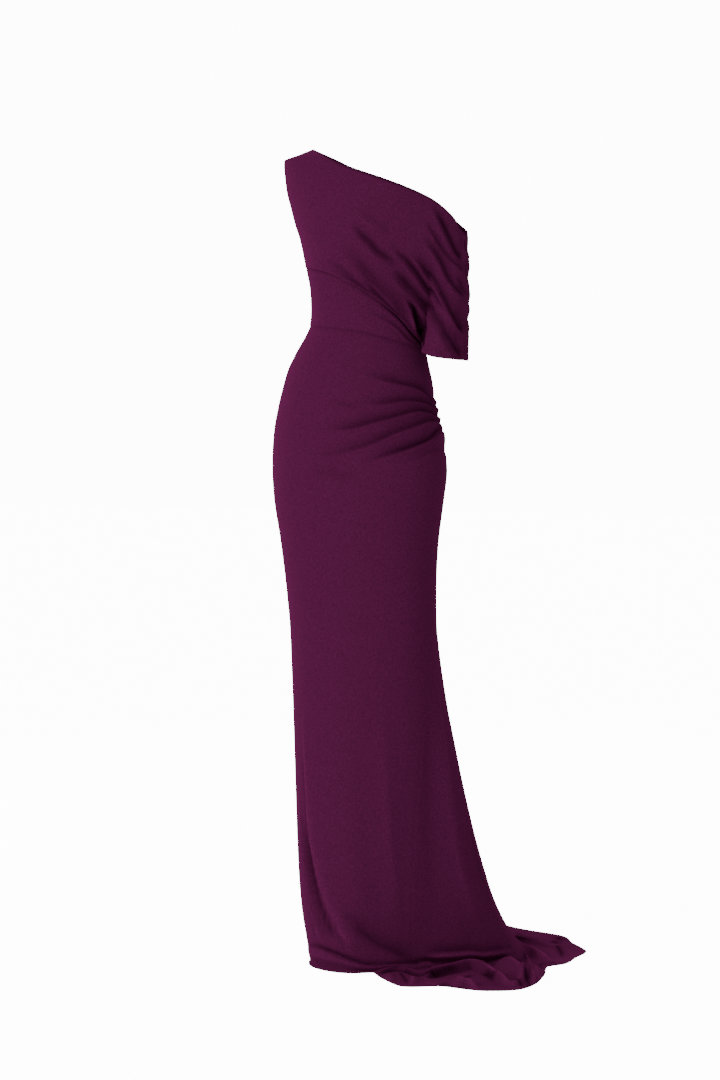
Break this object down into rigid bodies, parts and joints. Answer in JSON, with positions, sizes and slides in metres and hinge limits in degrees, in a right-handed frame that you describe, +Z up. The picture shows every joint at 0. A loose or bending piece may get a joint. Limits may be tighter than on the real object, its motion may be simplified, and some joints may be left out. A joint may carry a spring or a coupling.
{
  "type": "long dress",
  "caption": "Long one-shoulder dress, hollow as worn: draped front cut in one with a wide left sleeve, ruched hip, narrow skirt and a hem that pools into a train",
  "frame": {"origin": "the underside of the strap at the middle of the right shoulder seam, where the wearer's shoulder carries the dress", "axes": "+X to the wearer's left, +Y to the wearer's back, +Z up"},
  "size_m": [0.5919, 0.6013, 1.5679],
  "materials": {
    "crepe": "fine matte crepe with a soft low sheen",
    "zip_tape": "plain woven tape"
  },
  "bodies": {
    "root": {"bodice_front_drape": "crepe", "midriff_front": "crepe", "bodice_back_left": "crepe", "bodice_back_right": "crepe", "skirt_front": "crepe", "skirt_back_left": "crepe", "skirt_back_right": "crepe", "zip_centre_back": "zip_tape"}
  },
  "joints": []
}
